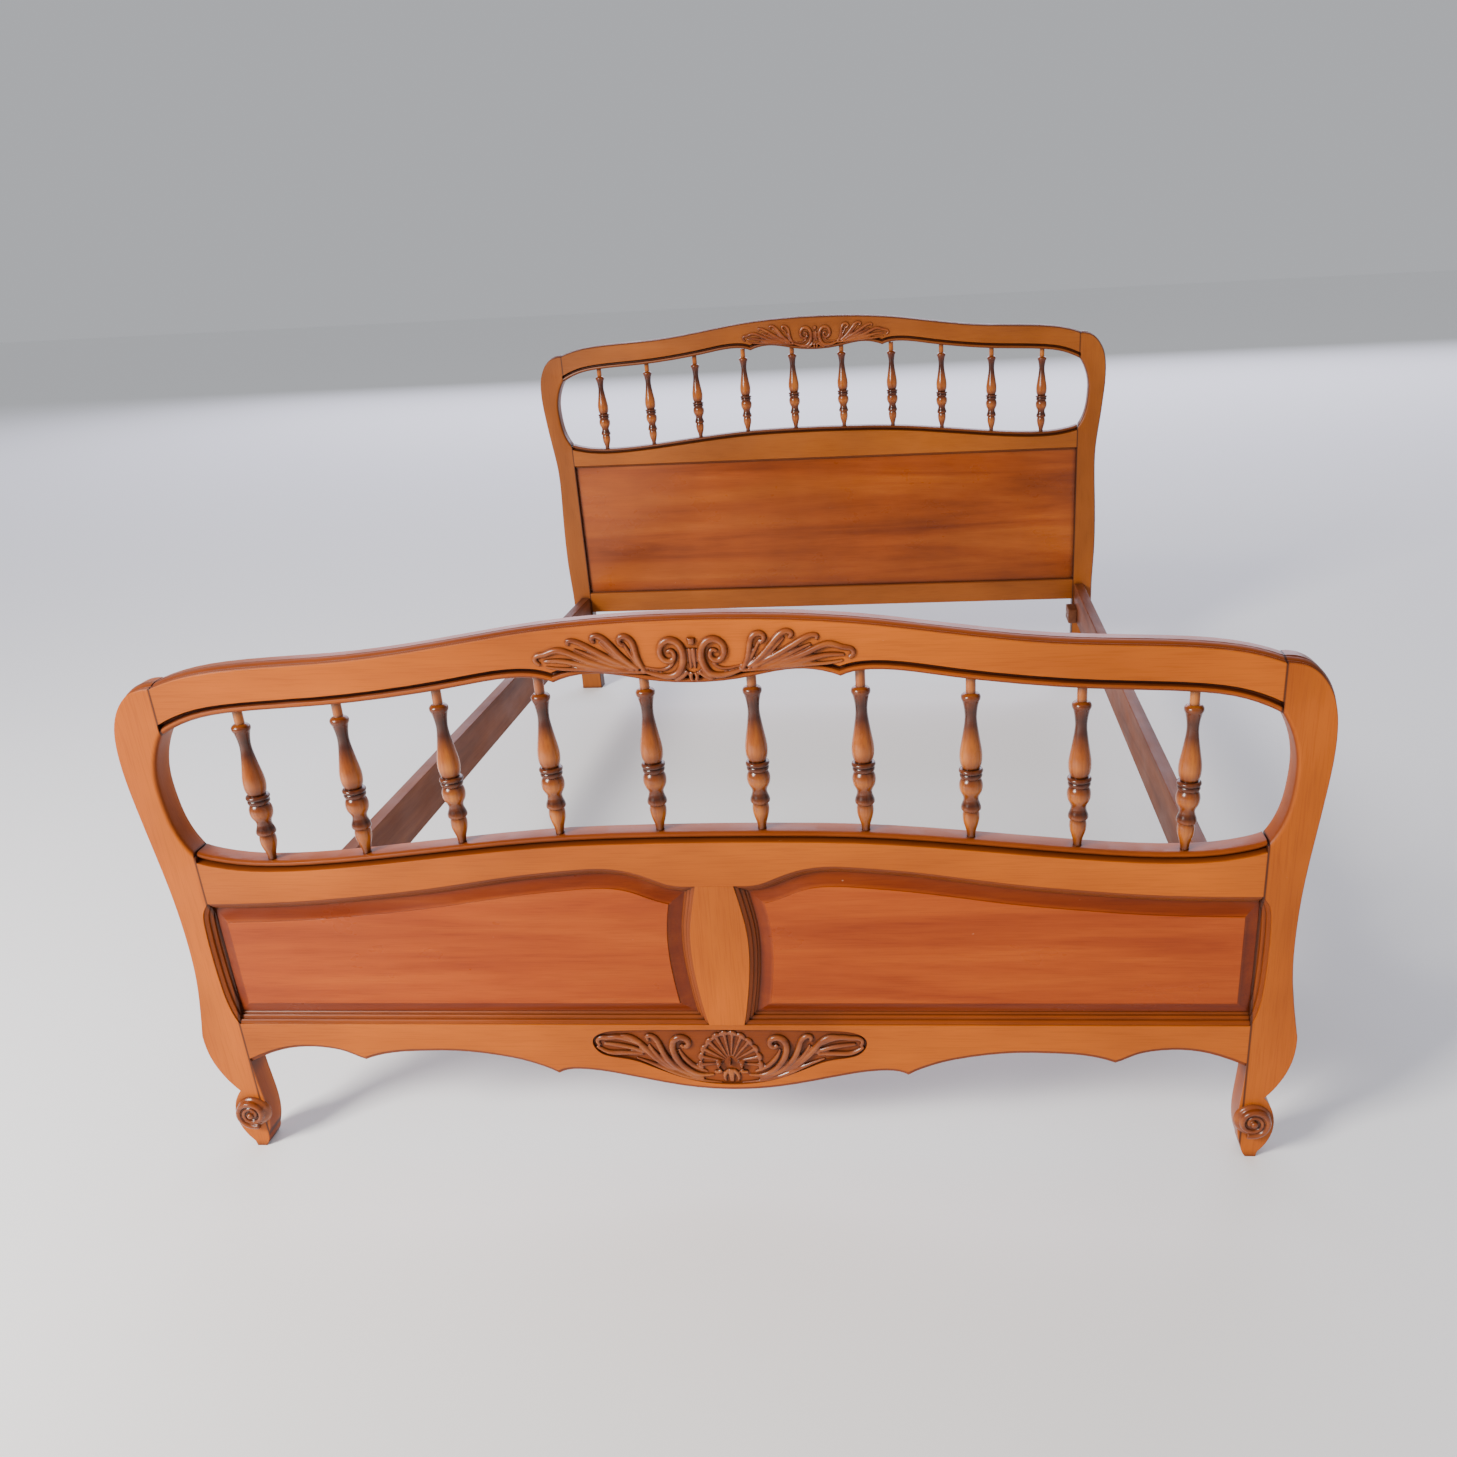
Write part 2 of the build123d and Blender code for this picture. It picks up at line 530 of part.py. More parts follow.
def make_head_bottom_rail(groove):
    rail = block(-HEAD_INNER_X, HEAD_INNER_X, 0, RAIL_THICK, HEAD_RAIL_LOW, HEAD_PANEL_LOW)
    rail = chamfer(rail.edges().group_by(Axis.Y)[0].group_by(Axis.Z)[-1], 4.0)
    rail = fillet(rail.edges().group_by(Axis.Y)[0].group_by(Axis.Z)[0], 2.0)
    horn = tenon(HEAD_INNER_X, *HEAD_BOTTOM_TENON, HEAD_LOW_TENON_FRONT)
    return one_solid(rail - groove) + horn + mirror_x(horn)


def head_groove(grow, front, back):
    return block(-HEAD_INNER_X - grow, HEAD_INNER_X + grow, front, back,
                 HEAD_PANEL_LOW - grow, HEAD_PANEL_TOP + grow)


def make_head_post(hardware_cuts, groove):
    """The right head post: the same gallery end above a long straight leg."""
    outer = smooth(raised(POST_SHOULDER + HEAD_POST_SIDE, HEAD_RISE))
    opening = smooth(raised(OPENING, HEAD_RISE))
    step_z = OPENING[-1][1] + HEAD_RISE
    post = prism(loop(outer, line((HEAD_INNER_X, 0), (HEAD_INNER_X, step_z - 6)),
                      line((JOINT_X, step_z - 6), (JOINT_X, step_z)), opening), 0, POST_THICK)
    post = eased(post, opening, 6.0, 4.0)
    run_out = [(764, -45), (772, -90)]
    shoulder = smooth(raised([(695, 731.5)] + POST_SHOULDER + HEAD_POST_SIDE[:7] + run_out, HEAD_RISE))
    post -= moulding(parallel(shoulder, CREST_RISE, samples=60), CREST_SECTION, -1)
    post -= groove
    post -= mortise(JOINT_X, TOP_TENON[0] + HEAD_RISE, TOP_TENON[1] + HEAD_RISE)
    post -= mortise(HEAD_INNER_X, *HEAD_MIDDLE_TENON)
    post -= mortise(HEAD_INNER_X, *HEAD_BOTTOM_TENON, HEAD_LOW_TENON_FRONT)
    return one_solid(post - hardware_cuts)


# ---------------------------------------------------------------- side rails and their hooks
RAIL_START_Y = FOOT_FRONT_Y + POST_THICK
RAIL_END_Y = HEAD_FRONT_Y
MIDDLE_Y = (RAIL_START_Y + RAIL_END_Y) / 2


def to_head(shape):
    """The same fitting at the head end of the rail."""
    return mirror(shape, about=Plane.XZ.offset(-MIDDLE_Y))


def along_y(shape, x, y, z, turn):
    return Location((x, y, z), (turn, 0, 0)) * shape


def screw(length, radius=SCREW_R, head_radius=SCREW_HEAD_R, play=0.0):
    """A countersunk screw with its head's top at z = 0 and its shank down -Z."""
    head = Location((0, 0, -SCREW_HEAD_TALL / 2)) * Cone(radius + play, head_radius + play, SCREW_HEAD_TALL)
    shank = Location((0, 0, -length / 2)) * Cylinder(radius + play, length)
    return head + shank


def plate_screws(y, turn, length, play=0.0):
    return [along_y(screw(length, play=play), HOOK_X, y, z, turn) for z in SCREW_ZS]


def plate(y0, y1, extra=0.0):
    return block(HOOK_X - PLATE_WIDE / 2, HOOK_X + PLATE_WIDE / 2, y0, y1, PLATE_LOW, PLATE_TOP + extra)


def make_hook_plate():
    """The foot-end hook plate, let into the end of the rail, with two hooks towards the post."""
    y = RAIL_START_Y
    body = plate(y, y + PLATE_THICK)
    for neck in HOOK_BOTTOMS:
        x0, x1 = HOOK_X - HOOK_THICK / 2, HOOK_X + HOOK_THICK / 2
        gap = PLATE_THICK + 0.2
        body += block(x0, x1, y - gap, y, neck, neck + HOOK_TALL)
        body += block(x0, x1, y - gap - HOOK_NOSE, y - gap, neck - HOOK_DROP, neck + HOOK_TALL)
    for cut in plate_screws(y, 90, 30):
        body -= cut
    return body


def make_catch_plate():
    """The plate let into the foot post, with two slots that the hooks drop into."""
    y = RAIL_START_Y
    body = plate(y - PLATE_THICK, y)
    for neck in HOOK_BOTTOMS:
        half = HOOK_THICK / 2 + SLOT_PLAY
        body -= block(HOOK_X - half, HOOK_X + half, y - PLATE_THICK - 1, y + 1, neck, neck + SLOT_TALL)
    for cut in plate_screws(y, -90, 16):
        body -= cut
    return body


def post_hardware_cuts():
    """What is cut out of the foot post for the catch plate, its screws and the hooks' noses."""
    y = RAIL_START_Y
    cuts = plate(y - PLATE_THICK, y + 1)
    for neck in HOOK_BOTTOMS:
        cuts += block(HOOK_X - POCKET_WIDE / 2, HOOK_X + POCKET_WIDE / 2, y - PLATE_THICK - POCKET_DEEP,
                      y - PLATE_THICK, neck - HOOK_DROP - 1, neck + SLOT_TALL)
    for cut in plate_screws(y, -90, 16):
        cuts += cut
    return cuts


def rest_place():
    y0 = RAIL_START_Y + REST_FROM_BOARD
    return (SIDE_RAIL_IN - REST_THICK, SIDE_RAIL_IN, y0, y0 + REST_LONG, REST_LOW, REST_TOP)


def rest_screws(length=34.0):
    """Two screws through a rest block into the side rail, heads on the bed's inside."""
    x0, _, y0, y1, z0, z1 = rest_place()
    shafts = []
    for y in (y0 + REST_LONG * 0.25, y1 - REST_LONG * 0.25):
        shafts.append(Location((x0, y, (z0 + z1) / 2), (0, -90, 0)) * screw(length))
    return shafts


def make_rest_block():
    body = chamfer(block(*rest_place()).edges(), 1.5)
    for cut in rest_screws():
        body -= cut
    return body


def make_side_rail():
    """A plain plank with eased edges, recessed at both ends for the hook plates."""
    rail = block(SIDE_RAIL_IN, SIDE_RAIL_IN + SIDE_RAIL_THICK, RAIL_START_Y, RAIL_END_Y,
                 SIDE_RAIL_LOW, SIDE_RAIL_TOP)
    rail = fillet(rail.edges().filter_by(Axis.Y), 2.0)
    ends = plate(RAIL_START_Y - 1, RAIL_START_Y + PLATE_THICK)
    for cut in plate_screws(RAIL_START_Y, 90, 30) + rest_screws():
        ends += cut
    return rail - ends - to_head(ends)


# ---------------------------------------------------------------- build
def build():
    os.makedirs("parts", exist_ok=True)
    windows = [window(GROOVE_DEEP, GROOVE_FRONT, GROOVE_FRONT + TONGUE_THICK + 0.3)]
    windows.append(mirror_x(windows[0]))

    save(FOOT * make_top_rail(0), "foot_top_rail")
    save(HEAD * make_top_rail(HEAD_RISE), "head_top_rail")
    save(FOOT * make_foot_middle_rail(windows), "foot_middle_rail")
    save(FOOT * make_foot_bottom_rail(windows), "foot_bottom_rail")
    save(FOOT * make_centre_stile(windows), "foot_centre_stile")
    panel = FOOT * make_foot_panel()
    save(panel, "foot_panel_right")
    save(mirror_x(panel), "foot_panel_left")

    for number in range(1, SPINDLES + 1):
        save(FOOT * make_spindle(number, 0), f"foot_spindle_{number:02d}")
        save(HEAD * make_spindle(number, HEAD_RISE), f"head_spindle_{number:02d}")

    cuts = post_hardware_cuts()
    foot_cuts = FOOT.inverse() * cuts
    head_cuts = HEAD.inverse() * to_head(cuts)
    groove = head_groove(GROOVE_DEEP, HEAD_PANEL_FRONT, GROOVE_FRONT + TONGUE_THICK + 0.3)
    sides = {"foot_post": FOOT * make_foot_post(foot_cuts, windows[0]),
             "foot_volute": FOOT * make_foot_volute(),
             "head_post": HEAD * make_head_post(head_cuts, groove),
             "side_rail": make_side_rail(),
             "foot_rest_block": make_rest_block(),
             "head_rest_block": to_head(make_rest_block()),
             "foot_catch_plate": make_catch_plate(),
             "head_catch_plate": to_head(make_catch_plate()),
             "foot_hook_plate": make_hook_plate(),
             "head_hook_plate": to_head(make_hook_plate())}
    for name, solid in sides.items():
        save(solid, f"{name}_right")
        save(mirror_x(solid), f"{name}_left")

    save(HEAD * make_head_middle_rail(groove), "head_middle_rail")
    save(HEAD * make_head_bottom_rail(groove), "head_bottom_rail")
    save(HEAD * head_groove(TONGUE, HEAD_PANEL_FRONT, GROOVE_FRONT + TONGUE_THICK), "head_panel")

    fasteners = {"catch_plate_screws": plate_screws(RAIL_START_Y, -90, 16),
                 "hook_plate_screws": plate_screws(RAIL_START_Y, 90, 30),
                 "rest_block_screws": rest_screws()}
    for name, corner in fasteners.items():
        right = corner + [to_head(one) for one in corner]
        save(Compound(children=right + [mirror_x(one) for one in right]), name)


build()
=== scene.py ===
"""The sleigh bed's finish: stained and lacquered wood, carving and turned feet on the fixed frame."""
import math

import bmesh
import bpy
from mathutils import Matrix, Vector


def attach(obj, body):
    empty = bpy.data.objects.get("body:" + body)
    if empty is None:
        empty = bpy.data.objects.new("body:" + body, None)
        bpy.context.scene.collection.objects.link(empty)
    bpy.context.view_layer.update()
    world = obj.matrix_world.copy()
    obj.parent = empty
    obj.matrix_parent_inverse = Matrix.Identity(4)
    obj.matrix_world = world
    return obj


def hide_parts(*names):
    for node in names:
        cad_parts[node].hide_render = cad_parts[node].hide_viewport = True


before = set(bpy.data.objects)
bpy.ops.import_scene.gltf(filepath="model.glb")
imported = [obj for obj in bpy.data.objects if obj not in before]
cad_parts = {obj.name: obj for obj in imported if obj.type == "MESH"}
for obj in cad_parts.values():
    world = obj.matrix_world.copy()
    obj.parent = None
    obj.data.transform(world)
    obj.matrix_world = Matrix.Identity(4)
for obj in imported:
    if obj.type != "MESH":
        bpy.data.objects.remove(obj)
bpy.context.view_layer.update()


# ------------------------------------------------------------------ side rails
# Two plain planks stained a dull brown and lacquered thinly, with the grain along the bed.
# They hook into the posts at both ends.
SET_BACK_GLAZE_AND_SHADE_TONE = (0.30, 0.20, 0.16)
QUIRK_GLAZE_AND_SHADE_TONE = (0.022, 0.006, 0.004)
SEAM_TONE = (0.030, 0.010, 0.006)
PALE_MARK_TONE = (0.55, 0.36, 0.22)
QUIRK_GLAZE_AND_SHADE_REACH = 0.013
SEAM_HALF = 0.003
FACE_DEPTH = 0.04
RAIL_STAIN = ((0.095, 0.022, 0.006), (0.175, 0.046, 0.014), (0.240, 0.072, 0.024))


def along(axis, fine, coarse):
    """Frequencies for a pattern drawn out along one axis of the wood, per metre."""
    return tuple(coarse if name == axis else fine for name in "XYZ")


def stained_wood(name, stain, grain, rough=0.36, quirk_glaze_and_shade=0.8, figure=26.0, clouds=0.35, coat=0.06,
                 face=None, toned=None, seam=None, contrast=1.0):
    """Stain in three tones along the grain, dark glaze and painted shade in the quirks, pores, and a worn
    lacquer.

    face is where the piece's front lies: whatever is cut back behind it keeps a darker wash, glaze and
    painted shade together.
    toned gives the colours along a turned piece, painted shade included, read from its height attribute. seam
    is how far out from the middle a joint runs, where the glaze has settled in a dark line.
    """
    wood = bpy.data.materials.new(name)
    wood.use_nodes = True
    nodes, links = wood.node_tree.nodes, wood.node_tree.links
    shader = nodes["Principled BSDF"]
    place = nodes.new("ShaderNodeTexCoord")

    def pattern(fine, coarse, detail, roughness=0.55, distortion=0.0):
        stretch = nodes.new("ShaderNodeMapping")
        stretch.inputs["Scale"].default_value = along(grain, fine, coarse)
        links.new(place.outputs["Object"], stretch.inputs["Vector"])
        noise = nodes.new("ShaderNodeTexNoise")
        noise.inputs["Scale"].default_value = 1.0
        noise.inputs["Detail"].default_value = detail
        noise.inputs["Roughness"].default_value = roughness
        noise.inputs["Distortion"].default_value = distortion
        links.new(stretch.outputs["Vector"], noise.inputs["Vector"])
        return noise.outputs["Fac"]

    def ramp(factor, stops):
        steps = nodes.new("ShaderNodeValToRGB")
        band = steps.color_ramp
        while len(band.elements) < len(stops):
            band.elements.new(0.5)
        for element, (position, tone) in zip(band.elements, stops):
            element.position = position
            element.color = (*tone, 1.0) if len(tone) == 3 else tone
        links.new(factor, steps.inputs["Fac"])
        return steps.outputs["Color"]

    def mixed(factor, first, second, blend="MIX"):
        mix = nodes.new("ShaderNodeMix")
        mix.data_type = "RGBA"
        mix.blend_type = blend
        for socket, value in ((mix.inputs[0], factor), (mix.inputs[6], first), (mix.inputs[7], second)):
            if isinstance(value, (int, float)):
                socket.default_value = value
            elif isinstance(value, tuple):
                socket.default_value = (*value, 1.0)
            else:
                links.new(value, socket)
        return mix.outputs[2]

    dark, middle, light = stain
    spread = 0.18 / contrast
    tone = ramp(pattern(figure, figure / 14, 6.0, 0.6, 0.5),
                [(0.5 - spread, dark), (0.5, middle), (0.5 + spread, light)])
    cloud = ramp(pattern(5.0, 2.5, 3.0), [(0.3, (0.62, 0.58, 0.56)), (0.7, (1.12, 1.1, 1.08))])
    tone = mixed(clouds, tone, mixed(1.0, tone, cloud, "MULTIPLY"))
    pores = pattern(620.0, 18.0, 2.0)
    pore_shade = ramp(pores, [(0.36, (0.88, 0.85, 0.83)), (0.5, (1.0, 1.0, 1.0))])
    tone = mixed(1.0, tone, pore_shade, "MULTIPLY")
    # Glaze and painted shade: surfaces just behind the front face are darkened by their depth.
    if face is not None:
        axes = nodes.new("ShaderNodeSeparateXYZ")
        links.new(place.outputs["Object"], axes.inputs["Vector"])
        behind = nodes.new("ShaderNodeMapRange")
        behind.inputs["From Min"].default_value = face
        behind.inputs["From Max"].default_value = face + FACE_DEPTH
        links.new(axes.outputs["Y"], behind.inputs["Value"])
        set_back_glaze_and_shade = ramp(behind.outputs["Result"],
                    [(0.012, (0, 0, 0)), (0.07, (0.72,) * 3), (0.45, (0.62,) * 3), (0.8, (0.3,) * 3)])
        tone = mixed(set_back_glaze_and_shade, tone, mixed(1.0, tone, SET_BACK_GLAZE_AND_SHADE_TONE, "MULTIPLY"))
    if seam:
        out = nodes.new("ShaderNodeSeparateXYZ")
        links.new(place.outputs["Object"], out.inputs["Vector"])
        outward = nodes.new("ShaderNodeMath")
        outward.operation = "ABSOLUTE"
        links.new(out.outputs["X"], outward.inputs[0])
        near = nodes.new("ShaderNodeMapRange")
        near.inputs["From Min"].default_value = seam - SEAM_HALF
        near.inputs["From Max"].default_value = seam + SEAM_HALF
        links.new(outward.outputs["Value"], near.inputs["Value"])
        line = ramp(near.outputs["Result"],
                    [(0.12, (0, 0, 0)), (0.36, (0.85,) * 3), (0.6, (0.85,) * 3), (0.88, (0, 0, 0))])
        tone = mixed(line, tone, SEAM_TONE)
    if toned:
        height = nodes.new("ShaderNodeAttribute")
        height.attribute_name = "height"
        tone = mixed(1.0, tone, ramp(height.outputs["Fac"], toned), "MULTIPLY")
    marks = pattern(70.0, 46.0, 4.0, 0.7)
    tone = mixed(ramp(marks, [(0.735, (0, 0, 0)), (0.76, (0.5, 0.5, 0.5))]), tone, PALE_MARK_TONE)
    # Dark glaze and painted shade: ambient occlusion darkens the quirks, hollows and joins.
    if quirk_glaze_and_shade:
        shade = nodes.new("ShaderNodeAmbientOcclusion")
        shade.samples = 6
        shade.inputs["Distance"].default_value = QUIRK_GLAZE_AND_SHADE_REACH
        hollow = ramp(shade.outputs["AO"], [(0.45, (quirk_glaze_and_shade,) * 3), (0.92, (0, 0, 0))])
        tone = mixed(hollow, tone, QUIRK_GLAZE_AND_SHADE_TONE)
    links.new(tone, shader.inputs["Base Color"])

    worn = nodes.new("ShaderNodeMapRange")
    worn.inputs["From Min"].default_value = 0.3
    worn.inputs["From Max"].default_value = 0.7
    worn.inputs["To Min"].default_value = rough - 0.06
    worn.inputs["To Max"].default_value = rough + 0.1
    links.new(pattern(16.0, 9.0, 4.0), worn.inputs["Value"])
    links.new(worn.outputs["Result"], shader.inputs["Roughness"])
    shader.inputs["Coat Weight"].default_value = coat
    shader.inputs["Coat Roughness"].default_value = 0.2
    shader.inputs["IOR"].default_value = 1.45
    shader.inputs["Specular IOR Level"].default_value = 0.26

    eased_edge = nodes.new("ShaderNodeBevel")
    eased_edge.samples = 4
    eased_edge.inputs["Radius"].default_value = 0.0009
    grain_bump = nodes.new("ShaderNodeBump")
    grain_bump.inputs["Strength"].default_value = 0.16
    grain_bump.inputs["Distance"].default_value = 0.0004
    links.new(pores, grain_bump.inputs["Height"])
    links.new(eased_edge.outputs["Normal"], grain_bump.inputs["Normal"])
    links.new(grain_bump.outputs["Normal"], shader.inputs["Normal"])
    return wood


def shown(name, shape, wood, replaced=()):
    """Put a finished mesh in the scene as one piece of the bed."""
    mesh = bpy.data.meshes.new(name)
    shape.to_mesh(mesh)
    shape.free()
    piece = bpy.data.objects.new(name, mesh)
    bpy.context.scene.collection.objects.link(piece)
    mesh.materials.append(wood)
    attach(piece, "root")
    if replaced:
        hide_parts(*replaced)
    return piece


MERGE_REACH = 0.00002


def sanded(node, wood, crease=32.0):
    """A board from the frame with its facets joined and smoothed between its crisp edges."""
    shape = bmesh.new()
    shape.from_mesh(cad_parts[node].data)
    bmesh.ops.remove_doubles(shape, verts=shape.verts, dist=MERGE_REACH)
    bmesh.ops.dissolve_degenerate(shape, edges=shape.edges, dist=MERGE_REACH)
    for face in shape.faces:
        face.smooth = True
    for edge in shape.edges:
        edge.smooth = edge.is_manifold and edge.calc_face_angle(0.0) < math.radians(crease)
    return shown(f"{node}_finished", shape, wood, (node,))


rail_wood = stained_wood("rail_wood", RAIL_STAIN, "Y", rough=0.5, quirk_glaze_and_shade=0.3, coat=0.0)
for side in ("left", "right"):
    sanded(f"side_rail_{side}", rail_wood)


# ------------------------------------------------------------------ slat rests
# Four short blocks screwed inside the side rails. The slatted base has rubbed their tops pale.
REST_STAIN = ((0.085, 0.024, 0.010), (0.150, 0.050, 0.020), (0.33, 0.17, 0.09))
rest_wood = stained_wood("rest_wood", REST_STAIN, "Y", rough=0.5, quirk_glaze_and_shade=0.2, clouds=0.8, coat=0.0)
for end in ("foot", "head"):
    for side in ("left", "right"):
        sanded(f"{end}_rest_block_{side}", rest_wood)


# ------------------------------------------------------------------ hook plates and screws
# Pressed steel plates let into the rail ends and the posts, zinc plated and a little dulled,
# held by countersunk screws.
def zinc(name, colour, rough):
    metal = bpy.data.materials.new(name)
    metal.use_nodes = True
    nodes, links = metal.node_tree.nodes, metal.node_tree.links
    shader = nodes["Principled BSDF"]
    shader.inputs["Metallic"].default_value = 1.0
    place = nodes.new("ShaderNodeTexCoord")
    spangle = nodes.new("ShaderNodeTexNoise")
    spangle.inputs["Scale"].default_value = 240.0
    spangle.inputs["Detail"].default_value = 3.0
    links.new(place.outputs["Object"], spangle.inputs["Vector"])
    tint = nodes.new("ShaderNodeValToRGB")
    tint.color_ramp.elements[0].color = tuple(0.72 * c for c in colour) + (1.0,)
    tint.color_ramp.elements[1].color = (*colour, 1.0)
    links.new(spangle.outputs["Fac"], tint.inputs["Fac"])
    links.new(tint.outputs["Color"], shader.inputs["Base Color"])
    dull = nodes.new("ShaderNodeMapRange")
    dull.inputs["To Min"].default_value = rough - 0.08
    dull.inputs["To Max"].default_value = rough + 0.12
    links.new(spangle.outputs["Fac"], dull.inputs["Value"])
    links.new(dull.outputs["Result"], shader.inputs["Roughness"])
    return metal


plate_zinc = zinc("plate_zinc", (0.60, 0.60, 0.58), 0.38)
screw_zinc = zinc("screw_zinc", (0.58, 0.55, 0.46), 0.34)
for end in ("foot", "head"):
    for side in ("left", "right"):
        for plate in ("hook_plate", "catch_plate"):
            sanded(f"{end}_{plate}_{side}", plate_zinc)
for screws in ("catch_plate_screws", "hook_plate_screws", "rest_block_screws"):
    sanded(screws, screw_zinc)


# ------------------------------------------------------------------ footboard frame
# Arched top rail, nosed middle rail, scalloped bottom rail, short stile and two shaped posts,
# all cherry stained, with a dark glaze wiped into the mouldings and painted shade there too. Grain follows
# each piece.
FOOT_FACE = -1.044
FOOT_SEAM = 0.7082
FOOT_STAIN = ((0.400, 0.080, 0.001), (0.480, 0.104, 0.001), (0.560, 0.134, 0.002))
FRAME_FINISH = {"figure": 18.0, "clouds": 0.9, "coat": 0.04, "contrast": 0.26}
foot_rail_wood = stained_wood("foot_rail_wood", FOOT_STAIN, "X", face=FOOT_FACE, seam=FOOT_SEAM,
                              **FRAME_FINISH)
foot_post_wood = stained_wood("foot_post_wood", FOOT_STAIN, "Z", face=FOOT_FACE, seam=FOOT_SEAM,
                              **FRAME_FINISH)
for node in ("foot_top_rail", "foot_middle_rail"):
    sanded(node, foot_rail_wood)
for node in ("foot_centre_stile", "foot_post_left", "foot_post_right"):
    sanded(node, foot_post_wood)


# ------------------------------------------------------------------ raised panels
# Two fielded panels in the footboard, veneered redder than the frame, with a deep glaze and
# painted shade where their bevels run under the mouldings.
FIELD_BEHIND = 0.0055
PANEL_STAIN = ((0.270, 0.036, 0.001), (0.350, 0.054, 0.001), (0.420, 0.076, 0.002))
panel_wood = stained_wood("panel_wood", PANEL_STAIN, "X", rough=0.32, figure=30.0, coat=0.07,
                          face=FOOT_FACE + FIELD_BEHIND)
for side in ("left", "right"):
    sanded(f"foot_panel_{side}", panel_wood, crease=24.0)


# ------------------------------------------------------------------ headboard frame and panel
# The same gallery above one flat panel of wide boards laid across, on two long straight legs.
HEAD_FACE = 1.026
HEAD_SEAM = 0.7060
HEAD_STAIN = ((0.240, 0.060, 0.006), (0.320, 0.085, 0.009), (0.390, 0.115, 0.014))
HEAD_PANEL_STAIN = ((0.170, 0.028, 0.002), (0.290, 0.056, 0.004), (0.380, 0.088, 0.007))
head_rail_wood = stained_wood("head_rail_wood", HEAD_STAIN, "X", face=HEAD_FACE, seam=HEAD_SEAM,
                              **FRAME_FINISH)
head_post_wood = stained_wood("head_post_wood", HEAD_STAIN, "Z", face=HEAD_FACE, seam=HEAD_SEAM,
                              **FRAME_FINISH)
for node in ("head_top_rail", "head_middle_rail", "head_bottom_rail"):
    sanded(node, head_rail_wood)
for side in ("left", "right"):
    sanded(f"head_post_{side}", head_post_wood)
head_panel_wood = stained_wood("head_panel_wood", HEAD_PANEL_STAIN, "X", rough=0.3, figure=15.0,
                               clouds=0.9, coat=0.2)
sanded("head_panel", head_panel_wood)


# ------------------------------------------------------------------ turned spindles
# Ten in each gallery, pinned into the rails. The stain shows amber on the bellies, with painted
# shade nearly black in the necks and between the rings.
SPINDLE_STAIN = ((0.260, 0.060, 0.005), (0.380, 0.098, 0.008), (0.500, 0.150, 0.014))
# AMBER leaves the stain as it is; the darker tones are painted shade in the necks and between the rings.
AMBER, PAINTED_HALF_SHADE, PAINTED_DEEP_SHADE = (1.0, 1.0, 1.0), (0.42, 0.34, 0.36), (0.13, 0.09, 0.12)
SPINDLE_TONES_AND_SHADE = [(0.06, PAINTED_HALF_SHADE), (0.16, AMBER), (0.23, PAINTED_HALF_SHADE), (0.255, PAINTED_DEEP_SHADE), (0.30, PAINTED_HALF_SHADE), (0.345, AMBER),
                 (0.40, PAINTED_HALF_SHADE), (0.44, PAINTED_DEEP_SHADE), (0.475, PAINTED_HALF_SHADE), (0.53, AMBER), (0.62, (0.8, 0.74, 0.74)),
                 (0.72, (0.2, 0.14, 0.17)), (0.80, PAINTED_DEEP_SHADE), (0.86, (0.28, 0.2, 0.22)), (0.89, PAINTED_HALF_SHADE),
                 (0.92, AMBER)]
spindle_wood = stained_wood("spindle_wood", SPINDLE_STAIN, "Z", rough=0.24, quirk_glaze_and_shade=0.9, figure=60.0,
                            coat=0.5, toned=SPINDLE_TONES_AND_SHADE)
for end in ("foot", "head"):
    for number in range(1, 11):
        spindle = sanded(f"{end}_spindle_{number:02d}", spindle_wood, crease=50.0)
        heights = [vertex.co.z for vertex in spindle.data.vertices]
        low, tall = min(heights), max(heights) - min(heights)
        tone = spindle.data.attributes.new("height", "FLOAT", "POINT")
        tone.data.foreach_set("value", [(height - low) / tall for height in heights])


# ------------------------------------------------------------------ crest carving
# Low relief on the face of both top rails: two scrolls back to back over a small palmette, and
# a spray of acanthus running out to each side. Each line is a carver's ridge that tapers.
HEAD_RISE = 0.237
CARVED_STAIN = ((0.150, 0.030, 0.004), (0.250, 0.054, 0.006), (0.340, 0.086, 0.010))
carved_wood = stained_wood("carved_wood", CARVED_STAIN, "X", rough=0.26, quirk_glaze_and_shade=0.97, figure=40.0,
                           coat=0.4)


def curl(x, z, start, turns, outer, inner, steps=14):
    """Points (x, z) of a scroll winding inwards round a centre, in millimetres and degrees."""
    points = []
    for step in range(steps + 1):
        part = step / steps
        angle = math.radians(start + 360 * turns * part)
        radius = outer + (inner - outer) * part
        points.append((x + radius * math.cos(angle), z + radius * math.sin(angle)))
    return points


def settled(piece):
    """The mesh that a curve or a modified piece comes to."""
    bpy.context.view_layer.update()
    return bpy.data.meshes.new_from_object(piece.evaluated_get(bpy.context.evaluated_depsgraph_get()))


